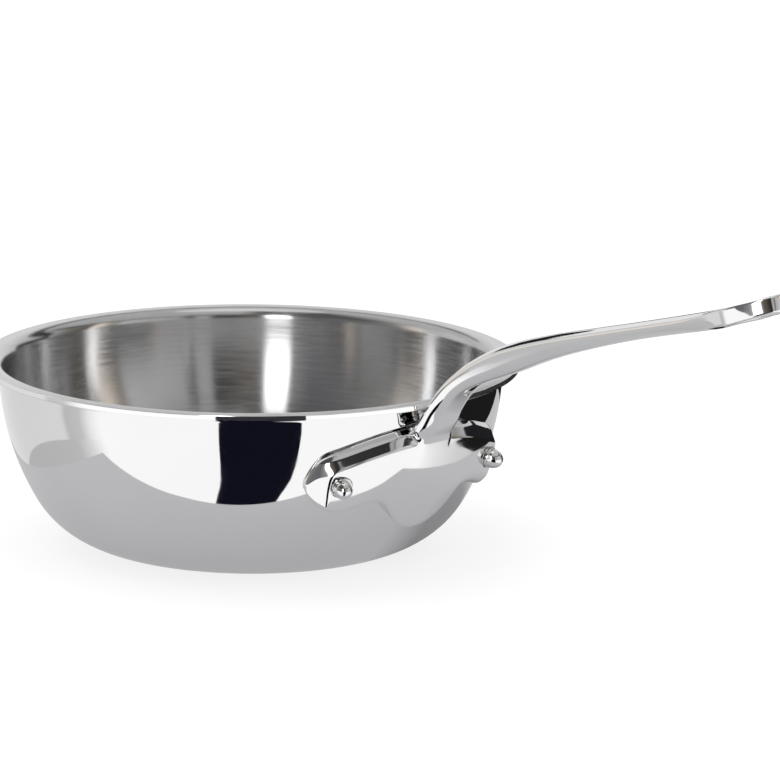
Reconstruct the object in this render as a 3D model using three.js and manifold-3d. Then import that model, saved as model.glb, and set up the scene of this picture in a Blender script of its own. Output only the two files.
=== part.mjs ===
// A saute pan with curved, splayed sides: a clad steel bowl with a flared lip, and a cast steel handle
// whose plate is held to the wall by two rivets.
// Millimetres, +Z up. The origin is the centre of the base's underside, and the handle points along +X.
import * as THREE from 'three';
import { mergeVertices } from 'three/addons/utils/BufferGeometryUtils.js';
import Module from 'manifold-3d';

const wasm = await Module();
wasm.setup();
const radians = THREE.MathUtils.degToRad;

// Bowl: the outer surface, and the flared lip on top of it
const RIM_RADIUS = 117.2; // outside of the wall just under the lip
const BODY_HEIGHT = 87; // table to the top of the lip's edge
const CORNER_RADIUS = 47; // arc between the flat base and the wall
const CORNER_TURN = radians(60); // how far that arc turns before the wall takes over
const WALL_LEAN = radians(2); // lean of the wall from vertical at its top
const LIP_WIDTH = 7.8; // from the wall's outside to the lip's edge
const LIP_BEND = 5.5; // bend radius on the inside of the bowl
const LIP_RISE = radians(-2); // the lip droops a little towards its edge

// Clad sheet, from the inside out
const LINER = 0.45; // stainless cooking surface
const BOND_SHEET = 0.25; // soft aluminium on each side of the core
const CORE = 1.1; // aluminium core
const OUTER = 0.45; // magnetic stainless outside
const BOND_LINE = 0.02; // between one sheet and the next
const HEM = 0.5; // liner turned down over the ends of the core sheets at the lip

// Handle plate, laid on the wall; drops are measured down from the lip's top
const PLATE_GAP = 0.3; // between the wall and the plate
const PLATE_THICK = 7.5;
const PLATE_ROUND = 2.6; // rounding of the outer edge, all along the bottom
const PLATE_TOP_DROP = 11; // upper edge beside the neck
const PLATE_TOP_EDGE = 1; // thickness left at the upper edge
const PLATE_RIDGE = 2.2; // from the upper edge down to the ridge in its bevel
const PLATE_RIDGE_THICK = 4;
const PLATE_BEVEL = 6.8; // height of the whole bevel
const LOBE_RADIUS = 23.5; // round lobe below the neck
const LOBE_DROP = 34.5; // centre of the lobe
const EAR_RADIUS = 10.5; // round end of each ear, below its middle
const EAR_DROP = 2; // from the rivet down to the middle of that end
const EAR_FLAT = 6; // from the rivet to the bevel that falls to the ear's tip
const EAR_END = 0.35; // share of the plate's thickness at the tip
const EAR_LENGTH = 15.4; // from the rivet to the ear's tip
const EAR_SHOULDER = 14.3; // upper edge above the rivet
const NOTCH_DROP = 40.5; // top of the hollow between lobe and ear
const NOTCH_BLEND = 7;
const EAR_BLUNT = 0.985; // the tip stops just short of a point
const BEVEL_MOST = 0.45; // share of the plate's height that the bevel may take near the tips
const ROUND_MOST = 0.3; // and the rounding

// Rivets
const RIVET_ANGLE = radians(22.5); // each side of the handle's plane, about the bowl's axis
const RIVET_DROP = 33;
const RIVET_SHANK = 3; // radius
const RIVET_CLEARANCE = 0.3;
const RIVET_HEAD = 4.8; // radius of the domed outer head
const RIVET_DOME = 7.4;
const RIVET_INNER_HEAD = 6; // radius of the low head inside the bowl
const RIVET_INNER_DOME = 1.8;
const RIVET_INNER_SEAT = 0.8; // a flat head on a hollow wall clears it at its middle
const RIVET_RECESS = 5.3; // radius of the round seat sunk into the ear
const RIVET_RECESS_DEPTH = 0.8;

// Handle bar: reach is measured out from the lip's edge and rise up from its top, along the bar's upper face
const ROOT_DROP = 24; // where the neck grows out of the plate
const ROOT_BURY = 3; // from the back of the plate to the back of the neck
const ROOT_DEPTH = 4.4;
const ROOT_HALF = 12.3;
const THROAT_DROP = 13;
const THROAT_BURY = 2.1;
const THROAT_DEPTH = 8;
const THROAT_HALF = 11.9;
const COLLAR_REACH = -1.7; // the neck leans out here, to pass the lip
const COLLAR_DROP = 6.2;
const COLLAR_DEPTH = 7.1;
const COLLAR_HALF = 11.4;
const NECK_REACH = 2.5; // clear of the lip
const NECK_RISE = 0.3;
const NECK_DEPTH = 6.6;
const NECK_HALF = 10.8;
const SWEEP_LOW = [0.203, 0.353]; // between neck and shoulder: share of the reach, share of the rise
const SWEEP_HIGH = [0.504, 0.671];
const SHOULDER_REACH = 43.8;
const SHOULDER_RISE = 33.4;
const SHOULDER_DEPTH = 13;
const SHOULDER_HALF = 8;
const GRIP_REACH = 166; // the end of the grip
const GRIP_RISE = 67.3;
const GRIP_DEPTH = 7.9;
const GRIP_HALF = 12.2;
const PALM_SHARE = 0.624; // the grip's thinnest place, from shoulder to end
const PALM_DEPTH = 7.1;
const PALM_HALF = 10;
const HEEL_SHARE = 0.255; // the place behind the shoulder where the bar is still deep
const HEEL_LIFT = 1; // and stands above a straight line from shoulder to end
const HEEL_DEPTH = 9.7;
const HEEL_HALF = 8.4;
const LOOP_RUN = 20; // from the end of the grip to the widest place, where the round tip starts
const LOOP_HALF = 14.2;
const LOOP_DEPTH = 8.6;
const LOOP_SLOPE = radians(19.1);
const TIP_RUN = 18.9; // from the widest place to the tip
const TIP_DEPTH = 7.5;
const TIP_SHARES = [0.26, 0.55, 0.79, 0.93, 0.99]; // places along the round tip
const HOLE_HALF = 5.2; // hanging hole, at its round end
const HOLE_TAPER = 3; // and at its narrow end
const HOLE_LENGTH = 25;
const HOLE_WALL = 8; // from the hole to the tip
const SECTION_CROWN = 0.05; // shares of the bar's depth: the crown, where it meets the sides
const SECTION_EDGE = 0.22; // the sides' upper corners
const SECTION_SIDE = 0.64; // and their lower ones
const CROWN_SHARE = 0.62; // shares of the bar's width: the crown
const KEEL_SHARE = 0.5; // and the narrow flat below

// Facets
const BOWL_SEGMENTS = 44;
const CORNER_STEPS = 3;
const WALL_STEPS = 4;
const LIP_STEPS = 2;
const ROUND_SEGMENTS = 20;
const PLATE_STEPS = 22; // on each side of the handle's plane
const BAR_STEPS = 3; // from one station of the bar to the next
const DOME_STEPS = 4;

// Materials
const steel = (name, color, roughness) =>
  new THREE.MeshStandardMaterial({ name, color, roughness, metalness: 1 });
const BRUSHED_STEEL = steel('brushed_steel', 0xb9b6b0, 0.32);
const POLISHED_STEEL = steel('polished_steel', 0xd4d5d6, 0.06);
const CAST_STEEL = steel('cast_steel', 0xcfd0d1, 0.1);
const RIVET_STEEL = steel('rivet_steel', 0xd0d0d0, 0.12);
const ALUMINIUM = steel('aluminium', 0xa9abad, 0.45);

// Sizes that follow from those above
const SHEET = LINER + 2 * BOND_SHEET + CORE + OUTER + 4 * BOND_LINE;
const LIP_RADIUS = RIM_RADIUS + LIP_WIDTH;
const LIP_OUTER_BEND = LIP_BEND - SHEET;
const LIP_START = Math.PI - WALL_LEAN;
const LIP_END = Math.PI / 2 + LIP_RISE;
const JOIN_LEAN = Math.PI / 2 - CORNER_TURN;
const JOIN_HEIGHT = CORNER_RADIUS * (1 - Math.cos(CORNER_TURN));
const WALL_TOP = BODY_HEIGHT - lipHeight();
const WALL_ARC = (WALL_TOP - JOIN_HEIGHT) / (Math.sin(JOIN_LEAN) - Math.sin(WALL_LEAN));
const WALL_CENTRE = new THREE.Vector2(
  RIM_RADIUS - WALL_ARC * Math.cos(WALL_LEAN),
  WALL_TOP + WALL_ARC * Math.sin(WALL_LEAN),
);
const BASE_RADIUS = WALL_CENTRE.x + WALL_ARC * Math.cos(JOIN_LEAN) - CORNER_RADIUS * Math.sin(CORNER_TURN);
const RIVET_HEIGHT = BODY_HEIGHT - RIVET_DROP;
const RIVET_ALONG = RIVET_ANGLE * RIM_RADIUS; // along the wall from the handle's plane
const PLATE_HALF = RIVET_ALONG + EAR_LENGTH * EAR_BLUNT;
const PLATE_FACE = PLATE_GAP + PLATE_THICK;
const RECESS_FLOOR = PLATE_FACE - RIVET_RECESS_DEPTH;

// How far the lip's edge stands above the top of the wall
function lipHeight() {
  const bendRadius = LIP_OUTER_BEND * Math.cos(WALL_LEAN) + LIP_BEND * Math.cos(LIP_END);
  const bendHeight = LIP_BEND * Math.sin(LIP_END) - LIP_OUTER_BEND * Math.sin(WALL_LEAN);
  return bendHeight + (LIP_WIDTH - bendRadius) * Math.tan(LIP_RISE);
}

// Points on an arc, without its first one
function arc(centre, radius, from, to, steps) {
  return Array.from({ length: steps }, (_, i) => {
    const angle = from + ((to - from) * (i + 1)) / steps;
    return new THREE.Vector2(centre.x + radius * Math.cos(angle), centre.y + radius * Math.sin(angle));
  });
}

// The bowl's section at a depth below its outer surface, from the axis out to the lip
function bowlSection(depth, edge) {
  const bendCentre = new THREE.Vector2(
    RIM_RADIUS + LIP_OUTER_BEND * Math.cos(WALL_LEAN),
    WALL_TOP - LIP_OUTER_BEND * Math.sin(WALL_LEAN),
  );
  const corner = new THREE.Vector2(BASE_RADIUS, CORNER_RADIUS);
  const upright = -Math.PI / 2;
  const points = [
    new THREE.Vector2(0, depth),
    new THREE.Vector2(BASE_RADIUS, depth),
    ...arc(corner, CORNER_RADIUS - depth, upright, upright + CORNER_TURN, CORNER_STEPS),
    ...arc(WALL_CENTRE, WALL_ARC - depth, -JOIN_LEAN, -WALL_LEAN, WALL_STEPS),
    ...arc(bendCentre, LIP_OUTER_BEND + depth, LIP_START, LIP_END, LIP_STEPS),
  ];
  const end = points.at(-1);
  points.push(new THREE.Vector2(edge, end.y + (edge - end.x) * Math.tan(LIP_RISE)));
  return points;
}

function revolve(points, segments) {
  return new THREE.LatheGeometry(points, segments).rotateX(Math.PI / 2);
}

// One sheet of the clad bowl, between two depths
function sheet(outside, inside, edge) {
  return revolve([...bowlSection(outside, edge), ...bowlSection(inside, edge).reverse()], BOWL_SEGMENTS);
}

// The liner, with its edge turned down over the ends of the core sheets
function liner() {
  const under = bowlSection(SHEET - LINER, LIP_RADIUS - HEM);
  const hemEdge = bowlSection(OUTER + BOND_LINE, LIP_RADIUS).at(-1);
  const hemHeel = bowlSection(OUTER + BOND_LINE, LIP_RADIUS - HEM).at(-1);
  const inside = bowlSection(SHEET, LIP_RADIUS);
  return revolve([...under, hemHeel, hemEdge, ...inside.reverse()], BOWL_SEGMENTS);
}

// Radius and lean of the wall's outside at a height
function wallAt(height) {
  if (height > JOIN_HEIGHT) {
    const lean = Math.asin((WALL_CENTRE.y - height) / WALL_ARC);
    return { radius: WALL_CENTRE.x + WALL_ARC * Math.cos(lean), lean };
  }
  const turn = Math.acos(1 - height / CORNER_RADIUS);
  return { radius: BASE_RADIUS + CORNER_RADIUS * Math.sin(turn), lean: Math.PI / 2 - turn };
}

// A point that stands off the wall's outside, square to it
function offWall(angle, height, out) {
  const { radius, lean } = wallAt(height);
  const reach = radius + out * Math.cos(lean);
  return new THREE.Vector3(reach * Math.cos(angle), reach * Math.sin(angle), height - out * Math.sin(lean));
}

// A closed body through rings of points, with a fan over each end
function loft(rings) {
  const count = rings[0].length;
  const index = [];
  for (let r = 0; r + 1 < rings.length; r += 1) {
    for (let i = 0; i < count; i += 1) {
      const a = r * count + i;
      const b = r * count + ((i + 1) % count);
      index.push(a, b, b + count, a, b + count, a + count);
    }
  }
  const last = (rings.length - 1) * count;
  for (let i = 1; i + 1 < count; i += 1) {
    index.push(0, i + 1, i);
    index.push(last, last + i, last + i + 1);
  }
  const geometry = new THREE.BufferGeometry().setFromPoints(rings.flat());
  geometry.setIndex(index);
  return geometry;
}

function solid(geometry) {
  const bare = geometry.clone();
  bare.deleteAttribute('normal');
  bare.deleteAttribute('uv');
  const merged = mergeVertices(bare, 1e-4);
  const corners = merged.index.array;
  const triangles = [];
  for (let i = 0; i < corners.length; i += 3) {
    const [a, b, c] = corners.slice(i, i + 3);
    if (a !== b && b !== c && c !== a) triangles.push(a, b, c);
  }
  const vertProperties = Float32Array.from(merged.attributes.position.array);
  const triVerts = Uint32Array.from(triangles);
  return new wasm.Manifold(new wasm.Mesh({ numProp: 3, vertProperties, triVerts }));
}

function geometryOf(body) {
  const mesh = body.getMesh();
  const geometry = new THREE.BufferGeometry();
  geometry.setAttribute('position', new THREE.BufferAttribute(mesh.vertProperties, mesh.numProp));
  geometry.setIndex(new THREE.BufferAttribute(mesh.triVerts, 1));
  const faceted = geometry.toNonIndexed();
  faceted.computeVertexNormals();
  return faceted;
}

// Lower edge of the handle plate at a distance along the wall from the handle's plane
function plateLower(along) {
  const under = (drop, radius, offset) =>
    BODY_HEIGHT - drop - Math.sqrt(Math.max(radius ** 2 - offset ** 2, 0));
  const lobe = along < LOBE_RADIUS ? under(LOBE_DROP, LOBE_RADIUS, along) : Infinity;
  const earReach = along > RIVET_ALONG ? EAR_LENGTH : EAR_RADIUS;
  const earOffset = ((along - RIVET_ALONG) * EAR_RADIUS) / earReach;
  const ear = Math.abs(earOffset) < EAR_RADIUS ? under(RIVET_DROP + EAR_DROP, EAR_RADIUS, earOffset) : Infinity;
  const notch = along < RIVET_ALONG ? BODY_HEIGHT - NOTCH_DROP : Infinity;
  return softLower(softLower(lobe, notch), softLower(ear, notch));
}

// The lower of two heights, with the corner between them rounded
function softLower(a, b) {
  if (!Number.isFinite(a) || !Number.isFinite(b)) return Math.min(a, b);
  const overlap = Math.max(NOTCH_BLEND - Math.abs(a - b), 0);
  return Math.min(a, b) - overlap ** 2 / (4 * NOTCH_BLEND);
}

// Upper edge of the plate: it falls away from the neck to the round end of the ear
function plateUpper(along) {
  const top = BODY_HEIGHT - PLATE_TOP_DROP;
  const shoulder = RIVET_HEIGHT + EAR_SHOULDER;
  if (along <= RIVET_ALONG) return top - (top - shoulder) * (along / RIVET_ALONG) ** 2;
  const round = (along - RIVET_ALONG) / EAR_LENGTH;
  return RIVET_HEIGHT - EAR_DROP + (EAR_SHOULDER + EAR_DROP) * Math.sqrt(1 - round ** 2);
}

// One section of the plate, square to the wall, at a distance along it
function plateRing(along) {
  const away = Math.abs(along);
  const lower = plateLower(away);
  const upper = plateUpper(away);
  const height = upper - lower;
  const tip = Math.max(away - RIVET_ALONG - EAR_FLAT, 0) / (EAR_LENGTH - EAR_FLAT);
  const share = THREE.MathUtils.lerp(1, EAR_END, tip);
  const thick = PLATE_THICK * share;
  const bevel = Math.min(PLATE_BEVEL, height * BEVEL_MOST);
  const ridge = (PLATE_RIDGE * bevel) / PLATE_BEVEL;
  const round = Math.min(PLATE_ROUND * share, height * ROUND_MOST);
  const easing = round * (1 - Math.SQRT1_2);
  const face = upper - bevel;
  const outline = [
    [upper, PLATE_TOP_EDGE],
    [upper - ridge, PLATE_RIDGE_THICK * share],
    [face, thick],
    [(lower + face) / 2, thick],
    [lower + round, thick],
    [lower + easing, thick - easing],
    [lower, thick - round],
    [lower, 0],
    [lower + height / 3, 0],
    [lower + (height * 2) / 3, 0],
    [upper, 0],
  ];
  return outline.map(([z, out]) => offWall(along / RIM_RADIUS, z, PLATE_GAP + out));
}

function handlePlate() {
  const rings = [];
  for (let i = -PLATE_STEPS; i <= PLATE_STEPS; i += 1) {
    rings.push(plateRing(PLATE_HALF * Math.sin(((i / PLATE_STEPS) * Math.PI) / 2)));
  }
  return loft(rings);
}

// Stations along the handle's bar: reach, rise, depth and half width
function barStations() {
  const loopRise = GRIP_RISE + LOOP_RUN * Math.tan(LOOP_SLOPE);
  const between = THREE.MathUtils.lerp;
  const fromPlate = (drop, bury) => wallAt(BODY_HEIGHT - drop).radius + PLATE_GAP + bury - LIP_RADIUS;
  const sweep = ([reach, rise]) => [
    between(NECK_REACH, SHOULDER_REACH, reach),
    between(NECK_RISE, SHOULDER_RISE, rise),
    between(NECK_DEPTH, SHOULDER_DEPTH, rise),
    between(NECK_HALF, SHOULDER_HALF, rise),
  ];
  const grip = (share, lift, thick, half) => [
    between(SHOULDER_REACH, GRIP_REACH, share),
    between(SHOULDER_RISE, GRIP_RISE, share) + lift,
    thick,
    half,
  ];
  const loop = (share) => [
    GRIP_REACH + LOOP_RUN + TIP_RUN * share,
    loopRise + TIP_RUN * share * Math.tan(LOOP_SLOPE),
    between(LOOP_DEPTH, TIP_DEPTH, share),
    LOOP_HALF * Math.sqrt(1 - share ** 2),
  ];
  return [
    [fromPlate(ROOT_DROP, ROOT_BURY), -ROOT_DROP, ROOT_DEPTH, ROOT_HALF],
    [fromPlate(THROAT_DROP, THROAT_BURY), -THROAT_DROP, THROAT_DEPTH, THROAT_HALF],
    [COLLAR_REACH, -COLLAR_DROP, COLLAR_DEPTH, COLLAR_HALF],
    [NECK_REACH, NECK_RISE, NECK_DEPTH, NECK_HALF],
    sweep(SWEEP_LOW),
    sweep(SWEEP_HIGH),
    [SHOULDER_REACH, SHOULDER_RISE, SHOULDER_DEPTH, SHOULDER_HALF],
    grip(HEEL_SHARE, HEEL_LIFT, HEEL_DEPTH, HEEL_HALF),
    grip(PALM_SHARE, 0, PALM_DEPTH, PALM_HALF),
    grip(1, 0, GRIP_DEPTH, GRIP_HALF),
    loop(0),
    ...TIP_SHARES.map(loop),
  ];
}

// One section of the bar: crowned above, upright sides, and bevels down to a narrow flat below
function barRing(at, down, deep, half) {
  const crown = half * CROWN_SHARE;
  const keel = half * KEEL_SHARE;
  const outline = [
    [0, 0],
    [-crown, SECTION_CROWN],
    [-half, SECTION_EDGE],
    [-half, SECTION_SIDE],
    [-keel, 1],
    [keel, 1],
    [half, SECTION_SIDE],
    [half, SECTION_EDGE],
    [crown, SECTION_CROWN],
  ];
  return outline.map(
    ([y, share]) => new THREE.Vector3(at.x + down.x * deep * share, y, at.y + down.y * deep * share),
  );
}

function handleBar() {
  const stations = barStations();
  const upper = new THREE.SplineCurve(
    stations.map(([reach, rise]) => new THREE.Vector2(LIP_RADIUS + reach, BODY_HEIGHT + rise)),
  );
  const size = new THREE.SplineCurve(stations.map(([, , deep, half]) => new THREE.Vector2(deep, half)));
  const steps = (stations.length - 1) * BAR_STEPS;
  const rings = [];
  for (let i = 0; i <= steps; i += 1) {
    const at = upper.getPoint(i / steps);
    const forward = upper.getTangent(i / steps);
    const { x: deep, y: half } = size.getPoint(i / steps);
    rings.push(barRing(at, new THREE.Vector2(forward.y, -forward.x), deep, half));
  }
  return loft(rings);
}

// Prism that cuts the hanging hole, a long rounded slot that narrows towards the grip
function hangingHole() {
  const outline = new THREE.Shape();
  const run = HOLE_LENGTH - HOLE_HALF - HOLE_TAPER;
  outline.absarc(0, 0, HOLE_HALF, -Math.PI / 2, Math.PI / 2);
  outline.absarc(-run, 0, HOLE_TAPER, Math.PI / 2, (3 * Math.PI) / 2);
  const height = 2 * (LOOP_DEPTH + GRIP_DEPTH);
  const curveSegments = ROUND_SEGMENTS / 2;
  const prism = new THREE.ExtrudeGeometry(outline, { depth: height, bevelEnabled: false, curveSegments });
  const [tipReach, tipRise] = barStations().at(-1);
  prism.translate(-HOLE_WALL - HOLE_HALF, 0, -height / 2);
  prism.rotateY(-LOOP_SLOPE);
  prism.translate(LIP_RADIUS + tipReach, 0, BODY_HEIGHT + tipRise);
  return prism;
}

// Frame of a rivet: the origin is on the wall's outside, and Y points out of the wall
function rivetFrame(side) {
  const { lean } = wallAt(RIVET_HEIGHT);
  const angle = side * RIVET_ANGLE;
  const axis = new THREE.Vector3(
    Math.cos(lean) * Math.cos(angle),
    Math.cos(lean) * Math.sin(angle),
    -Math.sin(lean),
  );
  const turn = new THREE.Quaternion().setFromUnitVectors(new THREE.Vector3(0, 1, 0), axis);
  return new THREE.Matrix4().compose(offWall(angle, RIVET_HEIGHT, 0), turn, new THREE.Vector3(1, 1, 1));
}

function roundCut(side, radius, from, to) {
  const cut = new THREE.CylinderGeometry(radius, radius, to - from, ROUND_SEGMENTS);
  cut.translate(0, (from + to) / 2, 0);
  return cut.applyMatrix4(rivetFrame(side));
}

function rivetHole(side) {
  return roundCut(side, RIVET_SHANK + RIVET_CLEARANCE, -2 * SHEET, PLATE_FACE + PLATE_THICK);
}

function rivetRecess(side) {
  return roundCut(side, RIVET_RECESS, RECESS_FLOOR, PLATE_FACE + PLATE_THICK);
}

function rivet(side) {
  const innerSeat = -SHEET - RIVET_INNER_SEAT;
  const outerSeat = RECESS_FLOOR + RIVET_CLEARANCE;
  const dome = (radius, height, seat) =>
    Array.from({ length: DOME_STEPS + 1 }, (_, i) => {
      const angle = ((i / DOME_STEPS) * Math.PI) / 2;
      return new THREE.Vector2(radius * Math.cos(angle), seat + height * Math.sin(angle));
    });
  const profile = [
    ...dome(RIVET_INNER_HEAD, -RIVET_INNER_DOME, innerSeat).reverse(),
    new THREE.Vector2(RIVET_SHANK, innerSeat),
    new THREE.Vector2(RIVET_SHANK, outerSeat),
    ...dome(RIVET_HEAD, RIVET_DOME, outerSeat),
  ];
  profile[0].x = 0;
  profile.at(-1).x = 0;
  return new THREE.LatheGeometry(profile, ROUND_SEGMENTS).applyMatrix4(rivetFrame(side));
}

const SIDES = { left: 1, right: -1 };
const rivetHoles = Object.values(SIDES).map((side) => solid(rivetHole(side)));
const drilled = (body) => rivetHoles.reduce((rest, hole) => rest.subtract(hole), body);

function handle() {
  const joined = solid(handlePlate()).add(solid(handleBar()));
  const open = joined.subtract(solid(hangingHole()));
  const recesses = Object.values(SIDES).map((side) => solid(rivetRecess(side)));
  return geometryOf(drilled(recesses.reduce((rest, recess) => rest.subtract(recess), open)));
}

const pan = new THREE.Group();
pan.name = 'saute_pan';
const place = (name, geometry, material) => {
  const mesh = new THREE.Mesh(geometry, material);
  mesh.name = name;
  pan.add(mesh);
};

// The sheets, from the outside in, each a bond line away from the last
const coreEdge = LIP_RADIUS - HEM - BOND_LINE;
let laid = 0;
const nextSheet = (name, thick, edge, material) => {
  place(name, geometryOf(drilled(solid(sheet(laid, laid + thick, edge)))), material);
  laid += thick + BOND_LINE;
};
nextSheet('outer_shell', OUTER, LIP_RADIUS, POLISHED_STEEL);
nextSheet('bond_sheet_outer', BOND_SHEET, coreEdge, ALUMINIUM);
nextSheet('core_sheet', CORE, coreEdge, ALUMINIUM);
nextSheet('bond_sheet_inner', BOND_SHEET, coreEdge, ALUMINIUM);
place('inner_liner', geometryOf(drilled(solid(liner()))), BRUSHED_STEEL);
place('handle', handle(), CAST_STEEL);
for (const [name, side] of Object.entries(SIDES)) place(`rivet_${name}`, rivet(side), RIVET_STEEL);

export default pan;
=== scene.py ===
import math

import bpy
from mathutils import Matrix, Vector


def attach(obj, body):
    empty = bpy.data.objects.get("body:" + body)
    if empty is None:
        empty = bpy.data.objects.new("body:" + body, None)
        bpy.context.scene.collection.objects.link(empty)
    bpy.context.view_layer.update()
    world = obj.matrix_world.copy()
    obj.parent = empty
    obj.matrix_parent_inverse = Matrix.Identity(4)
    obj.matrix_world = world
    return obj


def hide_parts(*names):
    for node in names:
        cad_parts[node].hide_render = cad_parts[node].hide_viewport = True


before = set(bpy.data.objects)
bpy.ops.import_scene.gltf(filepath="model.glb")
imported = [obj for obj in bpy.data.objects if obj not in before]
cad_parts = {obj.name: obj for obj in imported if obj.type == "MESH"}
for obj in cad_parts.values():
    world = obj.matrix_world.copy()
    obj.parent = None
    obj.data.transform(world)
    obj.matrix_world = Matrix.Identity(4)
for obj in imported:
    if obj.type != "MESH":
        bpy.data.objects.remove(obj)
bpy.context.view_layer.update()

MM = 0.001

# Bowl, in millimetres
RIM_RADIUS = 117.2  # outside of the wall, just under the lip
BODY_HEIGHT = 87.0
CORNER_RADIUS = 47.0
JOIN_LEAN = math.radians(30)  # where the corner passes into the wall
JOIN_HEIGHT = CORNER_RADIUS * (1 - math.sin(JOIN_LEAN))
WALL_LEAN = math.radians(2)
LIP_WIDTH = 7.8
LIP_RADIUS = RIM_RADIUS + LIP_WIDTH
LIP_RISE = math.radians(-2)
LIP_BEND = 5.5  # radius of the bend on the cooking side
LINER = 0.45
BOND_SHEET = 0.25
CORE = 1.1
OUTER = 0.45
BOND_LINE = 0.02
SHEET = LINER + 2 * BOND_SHEET + CORE + OUTER + 4 * BOND_LINE
HEM = 0.5  # part of the liner that is turned down over the ends of the core
EDGE_EASE = 0.22  # rounding of the lip's edge
EASE_MIDDLE = 0.25  # how far a rounding pulls in its corner
EASE_SUPPORT = 1.5  # where the points lie that keep the faces beside a rounding flat
LIP_OUTER_BEND = LIP_BEND - SHEET
CORNER_STEPS = 18
WALL_STEPS = 14
LIP_STEPS = 14
SEEN_SEGMENTS = 256
HIDDEN_SEGMENTS = 128
WELD = 0.004
SMOOTH_ANGLE = math.radians(40)

# Plate of the handle
PLATE_GAP = 0.3
PLATE_THICK = 7.5
PLATE_MIDDLE = 0.45  # share of the thickness where the plate's edge bulges most
PLATE_BULGE = 1.006
PLATE_TOP_DROP = 11.0
PLATE_TOP_EDGE = 1.0
PLATE_RIDGE = 2.2
PLATE_RIDGE_THICK = 4.0
PLATE_BEVEL = 6.8
BEVEL_MOST = 0.45
LOBE_RADIUS = 23.5
LOBE_DROP = 34.5
EAR_RADIUS = 10.5
EAR_DROP = 2.0  # from the rivet down to the middle of the ear's round end
EAR_LENGTH = 15.4
EAR_SHOULDER = 14.3
EAR_FLAT = 6.0  # from the rivet to the bevel that falls to the tip
EAR_END = 0.35  # share of the thickness at the tip
NOTCH_DROP = 40.5
NOTCH_BLEND = 7.0
PLATE_COLUMNS = (0, 4.6, 9.3, 14.5, 19, 22.8, 27, 33, 40, 46, 52, 57, 61.1)
PLATE_ROWS = 5
PLATE_EDGE_ROW = 3.6  # from the lower edge to the row that holds its rounding
EDGE_ROW_MOST = 0.3
EAR_CORNER = 10  # column at the start of the ear's bevel
EAR_HOOK = {5: 1.6, 4: 0.5}  # rows where that bevel bends round the rivet, and how far

# Rivets
RIVET_ANGLE = math.radians(22.5)
RIVET_ALONG = RIVET_ANGLE * RIM_RADIUS
RIVET_HEIGHT = 54.0
RIVET_SHANK = 3.0
RIVET_CLEARANCE = 0.3
RIVET_FLANGE = 4.8
RIVET_FLANGE_RISE = 1.6
RIVET_FLANGE_EASE = 0.35
RIVET_DOME = 4.5
RIVET_DOME_FOOT = (0.25, 0.1)  # groove round the dome: width, step up to the dome
RIVET_DOME_STEPS = 12
RIVET_RISE = 7.4
RIVET_INNER_HEAD = 6.0
RIVET_INNER_RISE = 1.8
RIVET_INNER_SEAT = 0.8
RIVET_INNER_STEPS = 10
RIVET_SEGMENTS = 64
RECESS_RADIUS = 5.3
RECESS_DEPTH = 0.8
RECESS_EASE = 0.3
RECESS_REACH = 6.0  # how far its cutter stands out
RECESS_SEGMENTS = 72

# Bar of the handle: reach from the lip's edge, rise over the lip, depth, half width
NECK_STATIONS = (
    (-5.2, -9.8, 8.0, 12.0),
    (-1.7, -6.2, 7.1, 11.4),
    (2.5, 0.3, 6.6, 10.8),
    (10.9, 12.0, 8.4, 9.8),
    (23.3, 22.5, 11.0, 8.8),
    (43.8, 33.4, 13.0, 8.0),
    (75.0, 43.0, 9.7, 8.4),
    (120.0, 54.8, 7.1, 10.0),
    (168.0, 67.9, 7.9, 12.3),
)
RINGS_PER_STATION = 3
LOOP_STATIONS = (
    (175.0, 70.4, 8.6, 12.9),
    (179.0, 71.8, 8.8, 13.5),
    (182.0, 72.8, 8.8, 14.0),
    (185.5, 74.0, 8.6, 14.2),
    (190.0, 75.6, 8.4, 13.3),
    (195.3, 77.4, 8.2, 11.1),
    (200.2, 79.0, 7.9, 8.2),
    (203.4, 80.1, 7.7, 5.0),
    (204.8, 80.5, 7.5, 2.3),
)
HOLE_HALVES = (1.8, 3.4, 4.4, 5.2, 4.6, 2.4)  # at the first six loop stations
# Section of the bar for each column and layer: share of the half width, share of the depth
BAR_SECTION = {
    (0, 0): (0.0, 0.0),
    (1, 0): (0.58, 0.03),
    (2, 0): (0.99, 0.22),
    (2, 1): (1.05, 0.56),
    (2, 2): (0.74, 0.98),
    (1, 2): (0.36, 1.03),
    (0, 2): (0.0, 1.04),
    (0, 1): (0.0, 0.5),
    (1, 1): (0.55, 0.5),
}
LOOP_SECTION = {
    (2, 0): (1.03, 0.12),
    (2, 1): (1.02, 0.5),
    (2, 2): (0.99, 0.9),
}
LOOP_EASE = 2  # rings over which the bar's section turns into the loop's

# Flat layout of the casting: a column, a row and a layer for each point, before it is put in place
BAR_COLUMNS = 2  # on each side of the middle
LAYERS = 2  # from the back of the casting to its front
NEAR = 0.1
ROUNDING_LEVELS = 3

# Creases that keep ridges of the casting crisp
CROWN_CREASE = 0.72
LOOP_CREASE = 0.6
FACET_CREASES = (0.8, 0.78, 0.6)  # along the plate's top, for each layer
FACET_FADE = {9: 0.8, 10: 0.4, 11: 0.0}  # share of them that is left towards the ear's tip
FOOT_CREASE = 0.7
EAR_CREASE = 0.55

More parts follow.
